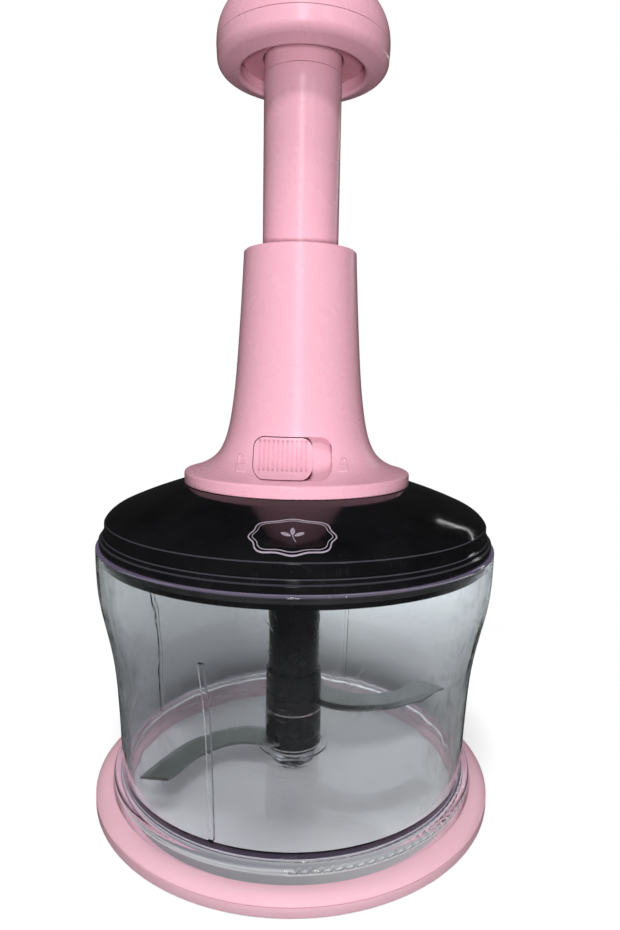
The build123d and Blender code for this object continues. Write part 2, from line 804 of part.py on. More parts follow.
def retaining_clip():
    return sector(clip_groove_r + fastener_play, clip_r, clip_low, clip_low + clip_t, 0, clip_half_angle)


def clutch_spring():
    return coil(clutch_spring_r, clutch_wire_r, bearing_top + 0.5, clutch_spring_h, 2)


def tooth_blanks(low, high):
    """One sector for each tooth, with a little air between neighbours."""
    half = 180 / tooth_count - tooth_air
    return [sector(teeth_inner_r, teeth_outer_r, low, high, number * 360 / tooth_count, half)
            for number in range(tooth_count)]


def ramp(number, above):
    """Everything above or below the sloping face of one saw tooth."""
    slope = degrees(asin(ramp_share * teeth_h / (2 * pi * clutch_r / tooth_count)))
    shift = cut_size / 2 + ramp_air
    block = Pos(0, 0, shift if above else -shift) * Box(cut_size, cut_size, cut_size)
    place = Rot(0, 0, number * 360 / tooth_count) * Pos(0, 0, teeth_low + teeth_h / 2) * Rot(slope, 0, 0)
    return place * block


def clutch_ratchet():
    body = rod(clutch_r, ratchet_low, teeth_low)
    for number, blank in enumerate(tooth_blanks(teeth_low - 0.2, teeth_top)):
        body += blank & ramp(number, above=False)
    return body - square(square_w + 2 * fastener_play, ratchet_low - 1, driver_top)


def clutch_driver():
    body = tube(root_r + fastener_play, clutch_r, teeth_top, driver_top)
    for number, blank in enumerate(tooth_blanks(teeth_low, teeth_top + 0.2)):
        body += blank & ramp(number, above=True)
    return body - cross_bar(cross_r + fastener_play, 2 * clutch_r)


def cross_bar(r, length):
    """Round bar along X through the rod's root."""
    return Pos(0, 0, cross_z) * Rot(0, 90, 0) * Cylinder(r, length)


def clutch_pin():
    return cross_bar(cross_r, 2 * clutch_r - 1.6)


def twisted_rod():
    body = twisted_bar(bar_w, bar_t, bar_low + 0.2, bar_top)
    body += rod(root_r, teeth_top, bar_low + 0.6)
    return body - cross_bar(cross_r + fastener_play, 4 * root_r)


# ---------------------------------------------------------------- the assembly

pieces = (
    base_ring, base_pads,
    bowl, centre_pin,
    shaft_end_cap, hub_washers, lower_hub, lower_blade, upper_hub, upper_blade,
    shaft_core, pin_bush, shaft_tube,
    lid_shell, lid_underplate, lid_seal, underplate_screws, housing_shell, housing_screws, neck_bush,
    spring_seat, return_spring, spindle_bearing,
    lock_ring, lock_button,
    plunger_tube, drive_nut, nut_screws, knob_ring, knob_cap, knob_screw, bumper_ring,
    twisted_rod, clutch_driver, clutch_pin, clutch_ratchet, clutch_spring, output_coupling, retaining_clip,
)

os.makedirs("parts", exist_ok=True)
for make in pieces:
    export_step(make(), f"parts/{make.__name__}.step")
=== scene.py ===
import json
from math import cos, pi, radians, sin

import bpy
from mathutils import Matrix, Vector
from mathutils.bvhtree import BVHTree


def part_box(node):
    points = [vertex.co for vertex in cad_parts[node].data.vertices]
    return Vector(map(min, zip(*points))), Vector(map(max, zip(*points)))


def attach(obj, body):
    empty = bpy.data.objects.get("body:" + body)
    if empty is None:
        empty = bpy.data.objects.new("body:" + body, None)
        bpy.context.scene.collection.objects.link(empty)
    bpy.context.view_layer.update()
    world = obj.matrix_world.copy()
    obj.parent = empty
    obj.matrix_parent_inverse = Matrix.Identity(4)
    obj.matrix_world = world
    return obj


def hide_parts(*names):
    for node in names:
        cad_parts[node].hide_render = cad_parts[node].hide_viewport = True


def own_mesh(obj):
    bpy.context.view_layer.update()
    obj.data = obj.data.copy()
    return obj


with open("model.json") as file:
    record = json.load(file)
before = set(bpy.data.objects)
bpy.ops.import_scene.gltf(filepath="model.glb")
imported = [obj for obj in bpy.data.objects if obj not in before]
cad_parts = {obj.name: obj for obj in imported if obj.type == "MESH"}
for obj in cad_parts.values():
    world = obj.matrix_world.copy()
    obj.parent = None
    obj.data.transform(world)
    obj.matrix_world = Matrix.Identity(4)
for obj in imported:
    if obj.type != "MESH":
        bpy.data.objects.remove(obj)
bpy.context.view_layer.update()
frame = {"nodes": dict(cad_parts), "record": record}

# Looks of the plunger food chopper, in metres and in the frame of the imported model. The chopper
# stands on z = 0 with its axis on x = y = 0, and the lock button faces -Y, towards the camera.

MM = 0.001
RECORD = frame["record"]
NODES = frame["nodes"]
scene = bpy.context.scene


# ---------------------------------------------------------------- node helpers

def link_or_set(tree, socket, value):
    """Feeds a socket from another one, or sets it to a plain value."""
    if isinstance(value, bpy.types.NodeSocket):
        tree.links.new(value, socket)
    else:
        socket.default_value = value


def put(tree, kind, inputs=None, **settings):
    """Adds a shader node. An input is given as a value, or as the socket that feeds it."""
    made = tree.nodes.new(kind)
    for name, value in settings.items():
        setattr(made, name, value)
    for name, value in (inputs or {}).items():
        link_or_set(tree, made.inputs[name], value)
    return made


def noise(tree, coords, size, detail=3.0, roughness=0.5, distortion=0.0):
    """Soft noise from 0 to 1 whose features are about `size` metres across."""
    inputs = {"Vector": coords, "Scale": 1 / size, "Detail": detail,
              "Roughness": roughness, "Distortion": distortion}
    return put(tree, "ShaderNodeTexNoise", inputs).outputs["Fac"]


def ranged(tree, value, low, high, out_low=0.0, out_high=1.0):
    """Maps low..high to out_low..out_high, and holds it there."""
    inputs = {"Value": value, "From Min": low, "From Max": high,
              "To Min": out_low, "To Max": out_high}
    return put(tree, "ShaderNodeMapRange", inputs).outputs["Result"]


def maths(tree, operation, first, second=0.0):
    return put(tree, "ShaderNodeMath", {0: first, 1: second}, operation=operation).outputs[0]


def product(tree, first, *others):
    for other in others:
        first = maths(tree, "MULTIPLY", first, other)
    return first


def total(tree, first, *others):
    for other in others:
        first = maths(tree, "ADD", first, other)
    return first


def distance(tree, first, second):
    """How far apart two numbers are."""
    return maths(tree, "ABSOLUTE", maths(tree, "SUBTRACT", first, second))


def blended(tree, share, first, second):
    """Colour between two colours."""
    mix = put(tree, "ShaderNodeMix", {0: share, 6: first, 7: second}, data_type="RGBA")
    return mix.outputs[2]


def axes_of(tree, coords):
    """The X, Y and Z sockets of a vector."""
    return put(tree, "ShaderNodeSeparateXYZ", {0: coords}).outputs


def turned_coords(tree, coords, turn, scale):
    """Coordinates turned by some degrees and scaled. A scale below 1 stretches what they feed."""
    inputs = {"Vector": coords, "Rotation": [radians(angle) for angle in turn], "Scale": scale}
    return put(tree, "ShaderNodeMapping", inputs).outputs["Vector"]


def hairlines(tree, coords, turn, width):
    """Mask of sparse fine scratches, each `width` metres wide and up to 60 times as long."""
    stretch = 60
    along = turned_coords(tree, coords, turn, (1 / stretch, 1, 1 / stretch))
    streaks = noise(tree, along, 3.5 * width, detail=2.0, roughness=0.6, distortion=0.4)
    thin = ranged(tree, distance(tree, streaks, 0.5), 0.0, 0.016, 1.0, 0.0)
    places = ranged(tree, noise(tree, coords, stretch * width, detail=1.0), 0.56, 0.66)
    return product(tree, thin, places)


def specks(tree, coords, size, share):
    """Mask of scattered dots, such as dust. `share` is the part of the cells that hold one."""
    spacing = 9 * size
    cells = put(tree, "ShaderNodeTexVoronoi", {"Vector": coords, "Scale": 1 / spacing})
    dot = ranged(tree, cells.outputs["Distance"], 0.03, 0.07, 1.0, 0.0)
    chance = put(tree, "ShaderNodeSeparateColor", {"Color": cells.outputs["Color"]}).outputs[0]
    return product(tree, dot, ranged(tree, chance, share, 0.7 * share, 0.0, 1.0))


def bumps(tree, height, depth, strength=1.0, under=None):
    """Normal of a relief `depth` metres high, laid over another normal if one is given."""
    inputs = {"Height": height, "Distance": depth, "Strength": strength}
    if under is not None:
        inputs["Normal"] = under
    return put(tree, "ShaderNodeBump", inputs).outputs["Normal"]


def material(name):
    """New node material. Gives it, its tree, its Principled shader and coordinates in metres."""
    made = bpy.data.materials.new("look_" + name)
    made.use_nodes = True
    tree = made.node_tree
    shader = tree.nodes["Principled BSDF"]
    coords = put(tree, "ShaderNodeTexCoord").outputs["Object"]
    return made, tree, shader, coords


def feed(tree, shader, **sockets):
    """Feeds or sets the shader's sockets. An underscore in a name stands for a space."""
    for name, value in sockets.items():
        link_or_set(tree, shader.inputs[name.replace("_", " ")], value)


# ---------------------------------------------------------------- materials

PINK = (0.660, 0.345, 0.428, 1)
PINK_SHADE = (0.650, 0.337, 0.418, 1)
PINK_GLOSS = 0.27
BASE_PINK = (0.850, 0.510, 0.600, 1)
BASE_PINK_SHADE = (0.835, 0.495, 0.585, 1)
WORN_GAIN = 1.12                    # how much paler worn edges are
SCATTER_SHARE = 0.10                # light that spreads under the pink pieces' skin
SCATTER_RADIUS = (1.0, 0.35, 0.42)  # its reach in red, green and blue, in SCATTER_DEPTH
SCATTER_DEPTH = 3 * MM

BLACK = (0.0055, 0.0055, 0.0062, 1)
BLACK_SHADE = (0.0030, 0.0030, 0.0036, 1)
SCRATCHED_BLACK = (0.22, 0.22, 0.23, 1)
# Painted highlight along the lid's edges
PAINTED_EDGE_HIGHLIGHT = (0.105, 0.10, 0.125, 1)
DUST = (0.42, 0.41, 0.40, 1)
DUST_ON_MATT = (0.5, 0.49, 0.47, 1)

CLEAR = (0.915, 0.92, 0.935, 1)
CLEAR_SHADE = (0.885, 0.885, 0.925, 1)
# Painted glow along the bowl's thick edges
PAINTED_GLOW_VIOLET = (0.76, 0.62, 1.0, 1)

# The lock button's grooves, in millimetres
GROOVE_FIRST = -13.825      # left side of the first one
GROOVE_LAST = 3.525         # right side of the last one
GROOVE_PITCH = 1.65
GROOVE_LOW = 132.25
GROOVE_HIGH = 142.55
GROOVE_SHARE = 0.52         # groove's share of the pitch
GROOVE_EDGE = 0.10          # share of the pitch over which it darkens
# Colour scale of the painted shade in the grooves
GROOVE_PAINTED_SHADE = (0.90, 0.82, 0.85)

# Edges that show as level lines, in millimetres: painted highlight lines on the lid, a painted
# violet glow on the bowl
LID_EDGES_Z = (110.55, 105.75, 104.25)
LID_EDGES_R = 73.2
LID_EDGE_HALF = 0.24
FLOOR_EDGE_Z = 12.4         # where the bowl's floor meets its wall
FLOOR_EDGE_R = 68.6
FLOOR_EDGE_HALF = 1.8
RIM_EDGE_Z = 101.5
RIM_EDGE_R = 76.4
RIM_EDGE_HALF = 0.7


def painted_groove_shade_mask(tree, coords):
    """Mask of the grooves in the lock button, where shade is painted into the colour."""
    across, _, level = axes_of(tree, coords)
    start = maths(tree, "SUBTRACT", across, GROOVE_FIRST * MM)
    along = maths(tree, "DIVIDE", start, GROOVE_PITCH * MM)
    phase = maths(tree, "FRACT", along)
    return product(
        tree,
        ranged(tree, phase, 0.0, GROOVE_EDGE),
        ranged(tree, phase, GROOVE_SHARE - GROOVE_EDGE, GROOVE_SHARE, 1.0, 0.0),
        maths(tree, "GREATER_THAN", along, 0.0),
        maths(tree, "LESS_THAN", across, GROOVE_LAST * MM),
        maths(tree, "GREATER_THAN", level, GROOVE_LOW * MM),
        maths(tree, "LESS_THAN", level, GROOVE_HIGH * MM))


def moulded_plastic(name, colour, shade, rough, peel=0.02 * MM, shaded_grooves=False):
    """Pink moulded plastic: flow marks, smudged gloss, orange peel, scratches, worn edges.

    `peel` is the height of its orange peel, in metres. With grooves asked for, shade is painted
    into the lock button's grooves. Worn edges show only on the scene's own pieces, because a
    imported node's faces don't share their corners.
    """
    made, tree, shader, coords = material(name)
    flow = ranged(tree, noise(tree, coords, 30 * MM, 4.0, 0.55, 0.6), 0.35, 0.65)
    grain = ranged(tree, noise(tree, coords, 1.2 * MM, 2.0), 0.3, 0.7)
    cloud = total(tree, product(tree, flow, 0.8), product(tree, grain, 0.2))
    edge = put(tree, "ShaderNodeNewGeometry").outputs["Pointiness"]
    worn = ranged(tree, edge, 0.53, 0.62, 0.0, 0.22)
    pale = tuple(min(1.0, WORN_GAIN * channel) for channel in colour[:3]) + (1.0,)
    base = blended(tree, worn, blended(tree, cloud, shade, colour), pale)
    # Painted shade in the grooves, where less light gets in
    if shaded_grooves:
        groove_shade_colour = tuple(tone * channel for tone, channel in zip(GROOVE_PAINTED_SHADE, colour)) + (1.0,)
        base = blended(tree, painted_groove_shade_mask(tree, coords), base, groove_shade_colour)
    scratches = hairlines(tree, coords, (20, 35, 50), 0.11 * MM)
    smudge = ranged(tree, noise(tree, coords, 18 * MM, 5.0, 0.6, 0.8), 0.3, 0.75,
                    0.92 * rough, 1.18 * rough)
    wavy = bumps(tree, noise(tree, coords, 20 * MM, 1.0), 0.05 * MM)
    peeled = bumps(tree, noise(tree, coords, 1.0 * MM, 2.0), peel, under=wavy)
    feed(tree, shader, Base_Color=base, IOR=1.52,
         Roughness=total(tree, smudge, product(tree, scratches, 0.06)),
         Normal=bumps(tree, scratches, -0.01 * MM, 0.2, peeled),
         Subsurface_Weight=SCATTER_SHARE, Subsurface_Radius=SCATTER_RADIUS,
         Subsurface_Scale=SCATTER_DEPTH)
    return made


def edge_lines(tree, coords, heights, inner_r, half):
    """Mask of thin level lines at some heights, outside a radius. All in millimetres."""
    x, y, z = axes_of(tree, coords)
    lines = 0.0
    for height in heights:
        off = distance(tree, z, height * MM)
        line = ranged(tree, off, 0.5 * half * MM, half * MM, 1.0, 0.0)
        lines = maths(tree, "MAXIMUM", lines, line)
    from_axis = maths(tree, "SQRT", total(tree, product(tree, x, x), product(tree, y, y)))
    return product(tree, lines, ranged(tree, from_axis, (inner_r - 0.3) * MM, inner_r * MM))


def black_plastic(name, rough, dust, turned=0.0, edges=()):
    """Polished black plastic with smears, hairlines, a little dust and painted highlight lines
    along given edges.

    `turned` stretches glints along the axis. `edges` gives the heights of edges that get painted
    highlight lines, in millimetres.
    """
    made, tree, shader, coords = material(name)
    marks = maths(tree, "MAXIMUM", hairlines(tree, coords, (15, 60, 20), 0.10 * MM),
                  hairlines(tree, coords, (70, 10, 100), 0.09 * MM))
    cloud = ranged(tree, noise(tree, coords, 20 * MM, 4.0), 0.35, 0.65)
    base = blended(tree, cloud, BLACK_SHADE, BLACK)
    base = blended(tree, product(tree, marks, 0.03), base, SCRATCHED_BLACK)
    # Painted highlight lines along the lid's edges, standing in for glints
    if edges:
        edge_highlight = product(tree, edge_lines(tree, coords, edges, LID_EDGES_R, LID_EDGE_HALF), 0.35)
        base = blended(tree, edge_highlight, base, PAINTED_EDGE_HIGHLIGHT)
    dusty = product(tree, specks(tree, coords, 0.14 * MM, dust), 0.5)
    smear = ranged(tree, noise(tree, coords, 14 * MM, 5.0, 0.65, 1.2), 0.35, 0.75,
                   0.7 * rough, 1.9 * rough)
    wavy = bumps(tree, noise(tree, coords, 22 * MM, 2.0), 0.10 * MM)
    feed(tree, shader, Base_Color=blended(tree, dusty, base, DUST), IOR=1.34,
         Roughness=total(tree, smear, product(tree, marks, 0.05)),
         Normal=bumps(tree, noise(tree, coords, 1.4 * MM, 2.0), 0.01 * MM, under=wavy),
         Anisotropic=turned, Anisotropic_Rotation=0.25)
    return made


def clear_plastic(name):
    """Clear moulded plastic with flow waves, smears and scratches. A painted violet glow, by
    emission, lies along its thick edges.
    """
    made, tree, shader, coords = material(name)
    marks = maths(tree, "MAXIMUM", hairlines(tree, coords, (80, 10, 15), 0.12 * MM),
                  hairlines(tree, coords, (10, 75, 60), 0.10 * MM))
    smear = ranged(tree, noise(tree, coords, 22 * MM, 5.0, 0.65, 1.0), 0.45, 0.8, 0.0, 0.05)
    drawn = turned_coords(tree, coords, (0, 0, 0), (1, 1, 0.2))
    waves = bumps(tree, noise(tree, drawn, 16 * MM, 1.0, 0.5, 0.3), 0.14 * MM)
    cloud = ranged(tree, noise(tree, coords, 40 * MM, 2.0), 0.3, 0.7)
    # Painted violet glow along the floor's edge and the rim, by emission
    floor_edge = edge_lines(tree, coords, (FLOOR_EDGE_Z,), FLOOR_EDGE_R, FLOOR_EDGE_HALF)
    rim_edge = edge_lines(tree, coords, (RIM_EDGE_Z,), RIM_EDGE_R, RIM_EDGE_HALF)
    painted_glow = total(tree, product(tree, floor_edge, 0.06), product(tree, rim_edge, 0.13))
    feed(tree, shader, Base_Color=blended(tree, cloud, CLEAR_SHADE, CLEAR),
         Transmission_Weight=1.0, IOR=1.49,
         Emission_Color=PAINTED_GLOW_VIOLET, Emission_Strength=painted_glow,
         Roughness=total(tree, smear, product(tree, marks, 0.2)),
         Normal=bumps(tree, marks, -0.01 * MM, 0.5, waves))
    return made


def drawn_metal(name, colour, shade, rough, scale=(1, 1, 0.04), turn=(0, 0, 0)):
    """Metal with fine working lines along one direction, small pits and a faint film."""
    made, tree, shader, coords = material(name)
    along = turned_coords(tree, coords, turn, scale)
    lines = noise(tree, along, 0.22 * MM, 4.0, 0.7)
    film = ranged(tree, noise(tree, coords, 9 * MM, 5.0, 0.65, 0.8), 0.35, 0.75)
    tone = blended(tree, product(tree, film, 0.25), colour, shade)
    lined = blended(tree, ranged(tree, lines, 0.25, 0.8, 0.0, 0.35), tone, shade)
    pits = specks(tree, coords, 0.12 * MM, 0.05)
    gloss = total(tree, ranged(tree, film, 0.0, 1.0, 0.85 * rough, 1.3 * rough),
                  ranged(tree, lines, 0.3, 0.7, -0.04, 0.06))
    ground = bumps(tree, lines, 0.012 * MM)
    feed(tree, shader, Base_Color=lined, Metallic=1.0, Roughness=gloss,
         Normal=bumps(tree, pits, -0.04 * MM, 0.5, ground))
    return made


def matt_polymer(name, colour, shade, rough, grain_size, grain_height):
    """Nylon, rubber or printing ink: cloudy colour and a fine matt grain."""
    made, tree, shader, coords = material(name)
    cloud = ranged(tree, noise(tree, coords, 8 * MM, 4.0, 0.6), 0.3, 0.7)
    grain = noise(tree, coords, grain_size, 3.0, 0.6)
    dusty = product(tree, specks(tree, coords, 0.16 * MM, 0.08), 0.3)
    base = blended(tree, dusty, blended(tree, cloud, shade, colour), DUST_ON_MATT)
    feed(tree, shader, Base_Color=base, IOR=1.5,
         Roughness=ranged(tree, grain, 0.2, 0.8, rough - 0.1, rough + 0.1),
         Normal=bumps(tree, grain, grain_height))
    return made


def make_looks():
    """One finish for each material slot of the record."""
    return {
        "pink_plastic": moulded_plastic("pink_plastic", PINK, PINK_SHADE, PINK_GLOSS),
        "pink_base_plastic": moulded_plastic("pink_base_plastic", BASE_PINK, BASE_PINK_SHADE,
                                             0.34, peel=0.03 * MM),
        "pink_soft": matt_polymer("pink_soft", (0.62, 0.27, 0.34, 1), (0.55, 0.22, 0.29, 1),
                                  0.6, 0.6 * MM, 0.03 * MM),
        "black_lid_plastic": black_plastic("black_lid_plastic", 0.09, dust=0.10,
                                           edges=LID_EDGES_Z),
        "black_shaft_plastic": black_plastic("black_shaft_plastic", 0.26, dust=0.05, turned=0.9),
        "clear_plastic": clear_plastic("clear_plastic"),
        "blade_steel": drawn_metal("blade_steel", (0.30, 0.315, 0.305, 1),
                                   (0.18, 0.19, 0.185, 1), 0.34, (0.05, 1, 1), (0, 0, 25)),
        "bright_steel": drawn_metal("bright_steel", (0.70, 0.70, 0.71, 1),
                                    (0.44, 0.44, 0.45, 1), 0.20),
        "spring_steel": drawn_metal("spring_steel", (0.47, 0.47, 0.49, 1),
                                    (0.26, 0.26, 0.28, 1), 0.30, (0.3, 0.3, 1)),
        "white_nylon": matt_polymer("white_nylon", (0.74, 0.73, 0.68, 1), (0.66, 0.65, 0.60, 1),
                                    0.42, 0.9 * MM, 0.02 * MM),
        "brass": drawn_metal("brass", (0.78, 0.57, 0.26, 1), (0.48, 0.33, 0.13, 1), 0.26,
                             (1, 1, 12)),
        "dark_rubber": matt_polymer("dark_rubber", (0.022, 0.022, 0.022, 1),
                                    (0.013, 0.013, 0.013, 1), 0.62, 0.7 * MM, 0.04 * MM),
    }


def dress_nodes(looks):
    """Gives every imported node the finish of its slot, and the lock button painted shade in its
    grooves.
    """
    for part in RECORD["subparts"]:
        for holder in NODES[part["node"]].material_slots:
            holder.material = looks[part["material_slot"]]
    shaded_grooves = moulded_plastic("pink_button_shaded_grooves", PINK, PINK_SHADE, PINK_GLOSS, shaded_grooves=True)
    for holder in NODES["lock_button"].material_slots:
        holder.material = shaded_grooves


# ---------------------------------------------------------------- mesh helpers

def mesh_object(name, points, faces, look, smooth=True):
    mesh = bpy.data.meshes.new(name)
    mesh.from_pydata([tuple(point) for point in points], [], faces)
    mesh.polygons.foreach_set("use_smooth", [smooth] * len(mesh.polygons))
    mesh.materials.append(look)
    mesh.update()
    made = bpy.data.objects.new(name, mesh)
    scene.collection.objects.link(made)
    return made


def swept_faces(rows, sides, closed=False):
    """Faces between rows of points that run along a line. Its ends are shut unless it's closed."""
    faces = []
    for row in range(rows if closed else rows - 1):
        after = (row + 1) % rows
        for step in range(sides):
            turn = (step + 1) % sides
            faces.append((row * sides + step, row * sides + turn,
                          after * sides + turn, after * sides + step))
    if not closed:
        faces.append(tuple(reversed(range(sides))))
        faces.append(tuple(range((rows - 1) * sides, rows * sides)))
    return faces


def tube_along(line, radius, sides):
    """Points and faces of a round bar along a list of points."""
    points = []
    last = len(line) - 1
    side = None
    for number, here in enumerate(line):
        along = (line[min(number + 1, last)] - line[max(number - 1, 0)]).normalized()
        if side is None:
            side = along.orthogonal().normalized()
        side = (side - along * side.dot(along)).normalized()
        other = along.cross(side)
        for step in range(sides):
            angle = 2 * pi * step / sides
            points.append(here + radius * (cos(angle) * side + sin(angle) * other))
    return points, swept_faces(len(line), sides)


def surface_of(node):
    """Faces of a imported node, to lay small relief on."""
    mesh = NODES[node].data
    return BVHTree.FromPolygons([vertex.co for vertex in mesh.vertices],
                                [tuple(face.vertices) for face in mesh.polygons])


def lay_along(surface, direction, start):
    """Gives a function that lays a point on a surface along a direction.

    `start` turns (u, v) into the point that it starts from. The function gives the point on the
    surface and the normal that faces back.
    """
    ahead = Vector(direction)

    def lay(u, v):
        here, normal, _, _ = surface.ray_cast(start(u, v), ahead)
        return here, normal if normal.dot(ahead) < 0 else -normal

    return lay


def low_strip(lay, line, width, height, closed=True):
    """Points and faces of a low flat strip along a line of (u, v), its foot sunk in the surface.

    The line, width and height are in millimetres.
    """
    profile = ((-0.5 * width, -height), (-0.38 * width, height),
               (0.38 * width, height), (0.5 * width, -height))
    count = len(line)
    points = []
    for number, (u, v) in enumerate(line):
        before = line[number - 1] if number or closed else line[0]
        after = line[(number + 1) % count] if number < count - 1 or closed else line[-1]
        along = (Vector(after) - Vector(before)).normalized()
        for aside, rise in profile:
            here, normal = lay((u - aside * along.y) * MM, (v + aside * along.x) * MM)
            points.append(here + normal * rise * MM)
    return points, swept_faces(count, len(profile), closed)


def low_pad(lay, middle, outline, height):
    """Points and faces of a low cushion with an outline of (u, v) about its middle.

    The middle, outline and height are in millimetres.
    """
    rings = ((1.0, -height), (0.97, 0.7 * height), (0.88, height), (0.6, height), (0.3, height))
    count = len(outline)
    points = []
    for share, rise in rings:
        for u, v in outline:
            here, normal = lay((middle[0] + share * u) * MM, (middle[1] + share * v) * MM)
            points.append(here + normal * rise * MM)
    here, normal = lay(middle[0] * MM, middle[1] * MM)
    points.append(here + normal * height * MM)
    foot_and_walls = swept_faces(len(rings), count)[:-1]
    inner = (len(rings) - 1) * count
    crown = [(inner + step, inner + (step + 1) % count, len(points) - 1) for step in range(count)]
    return points, foot_and_walls + crown


def joined(parts):
    """One list of points and one of faces from several."""
    points = []
    faces = []
    for some_points, some_faces in parts:
        faces += [tuple(len(points) + corner for corner in face) for face in some_faces]
        points += some_points
    return points, faces


def rounded_box(width, height, corner):
    """Outline of (u, v) of a rectangle with round corners, counter-clockwise about its middle."""
    steps = 5
    outline = []
    for quarter, (side, level) in enumerate(((1, 1), (-1, 1), (-1, -1), (1, -1))):
        for step in range(steps + 1):
            angle = (quarter + step / steps) * pi / 2
            outline.append((side * (width / 2 - corner) + corner * cos(angle),
                            level * (height / 2 - corner) + corner * sin(angle)))
    return outline


# ---------------------------------------------------------------- pieces

# Name, middle in X and Z, width and height of the body, and how far the shackle is drawn out
PADLOCKS = (("padlock_open", -20.2, 132.5, 3.9, 2.7, 0.9),
            ("padlock_shut", 16.4, 133.1, 3.9, 2.5, 0.0))
SHACKLE_WIDTH = 0.62
SIGN_HEIGHT = 0.22
LABEL_MIDDLE = (-1.06, -64.6)
PRINT_HEIGHT = 0.05
SPRIG_LEAVES = ((0.0, 1.6, 0), (-2.1, 0.2, -62), (2.1, 0.2, 62))    # middle in X and Y, lean


def lock_signs(look):
    """Two small raised padlocks on the flare: an open one left of the button, a shut one right."""
    lay = lay_along(surface_of("housing_shell"), (0, 1, 0),
                    lambda u, v: Vector((u, -100 * MM, v)))
    arc_steps = 14
    for name, u, v, width, height, lift in PADLOCKS:
        bow_r = 0.30 * width
        top = v + height / 2
        spring_line = top + 0.55 + lift
        left = [(u - bow_r, top - 0.3 + share * (spring_line - top + 0.3))
                for share in (0.0, 0.5)]
        bow = [(u - bow_r * cos(pi * step / arc_steps),
                spring_line + bow_r * sin(pi * step / arc_steps)) for step in range(arc_steps + 1)]
        if lift:
            right = [(u + bow_r, spring_line - 0.4)]
        else:
            right = [(u + bow_r, top), (u + bow_r, top - 0.3)]
        body = low_pad(lay, (u, v), rounded_box(width, height, corner=0.5), SIGN_HEIGHT)
        shackle = low_strip(lay, left + bow + right, SHACKLE_WIDTH, 0.2, closed=False)
        sign = mesh_object(name, *joined([body, shackle]), look)
        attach(sign, "lid")


def label_line(half_width, half_height):
    """Closed line of (u, v) of a plain scalloped label about its middle."""
    lobes, lobe_depth, squareness, steps = 8, 0.045, 2.6, 160
    line = []
    for step in range(steps):
        angle = 2 * pi * step / steps
        squared = abs(cos(angle)) ** squareness + abs(sin(angle)) ** squareness
        swell = squared ** (-1 / squareness) * (1 + lobe_depth * cos(lobes * angle))
        line.append((half_width * swell * cos(angle), half_height * swell * sin(angle)))
    return line


def leaf_outline(length, width, lean):
    """Outline of (u, v) of a pointed leaf about its middle, leaning by `lean` degrees."""
    steps = 24
    outline = []
    for step in range(steps):
        angle = 2 * pi * step / steps
        across = width / 2 * sin(angle) * abs(sin(angle)) ** 0.3
        along = length / 2 * cos(angle)
        outline.append((across * cos(radians(lean)) + along * sin(radians(lean)),
                        along * cos(radians(lean)) - across * sin(radians(lean))))
    return outline[::-1]


def label(look):
    """Plain print on the slope of the lid: a double scalloped line round a sprig of leaves."""
    lay = lay_along(surface_of("lid_shell"), (0, 0, -1), lambda u, v: Vector((u, v, 200 * MM)))

    def moved(line):
        return [(LABEL_MIDDLE[0] + u, LABEL_MIDDLE[1] + v) for u, v in line]

    stalk = [(0.10 * v * v, v) for v in (-3.2, -2.2, -1.2, -0.2)]
    parts = [low_strip(lay, moved(label_line(12.9, 7.6)), 0.52, PRINT_HEIGHT),
             low_strip(lay, moved(label_line(11.8, 6.7)), 0.28, PRINT_HEIGHT),
             low_strip(lay, moved(stalk), 0.34, PRINT_HEIGHT, closed=False)]
    for aside, rise, lean in SPRIG_LEAVES:
        middle = moved([(aside, rise)])[0]
        parts.append(low_pad(lay, middle, leaf_outline(3.6, 1.5, lean), PRINT_HEIGHT))
    print_piece = mesh_object("label", *joined(parts), look, smooth=False)
    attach(print_piece, "lid")


def coil_spring(look):
    """Return spring of round wire with closed end turns, made in one fixed shape. In the chopper
    the plunger squeezes it flat.
    """
    low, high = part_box("return_spring")
    wire_r = 0.7 * MM
    mean_r = (high.x - low.x) / 2 - wire_r
    turns, closed_turns, steps = 8, 0.9, 48
    rise = high.z - low.z - 2 * wire_r
    shut = 2.1 * wire_r * closed_turns
    line = []
    for step in range(int((turns + 2 * closed_turns) * steps) + 1):
        turned = step / steps
        open_share = min(max(turned - closed_turns, 0) / turns, 1)
        shut_turns = min(turned, closed_turns) + max(turned - closed_turns - turns, 0)
        z = (low.z + wire_r + open_share * (rise - 2 * shut)
             + shut_turns / closed_turns * shut)
        angle = 2 * pi * turned
        line.append(Vector((mean_r * cos(angle), mean_r * sin(angle), z)))
    points, faces = tube_along(line, wire_r, sides=12)
    coil = mesh_object("return_spring_coil", points, faces, look)
    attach(coil, "lid")
    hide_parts("return_spring")
    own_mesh(coil)


# ---------------------------------------------------------------- camera

# Fitted to the ellipses in the photograph
CAMERA_PLACE = Vector((0, -263.1, 163.3)) * MM
CAMERA_PITCH = radians(-7.15)
CAMERA_ROLL = radians(1.03)
CAMERA_YAW = radians(1.12)
CAMERA_FOCUS = 663.2        # focal length in pixels of a picture 930 high
PICTURE_HEIGHT = 930
SENSOR = 36.0               # height of the sensor, in millimetres


def make_camera():
    lens = bpy.data.cameras.new("camera")
    lens.sensor_width = SENSOR
    lens.lens = CAMERA_FOCUS * SENSOR / PICTURE_HEIGHT
    lens.clip_start = 10 * MM
    ahead = Vector((sin(CAMERA_YAW) * cos(CAMERA_PITCH), cos(CAMERA_YAW) * cos(CAMERA_PITCH),
                    sin(CAMERA_PITCH)))
    level = Vector((cos(CAMERA_YAW), -sin(CAMERA_YAW), 0))
    upright = level.cross(ahead)
    right = cos(CAMERA_ROLL) * level + sin(CAMERA_ROLL) * upright
    up = cos(CAMERA_ROLL) * upright - sin(CAMERA_ROLL) * level
    axes = Matrix((right, up, -ahead)).transposed().to_4x4()
    camera = bpy.data.objects.new("camera", lens)
    camera.matrix_world = Matrix.Translation(CAMERA_PLACE) @ axes
    scene.collection.objects.link(camera)
    scene.camera = camera


# ---------------------------------------------------------------- floor

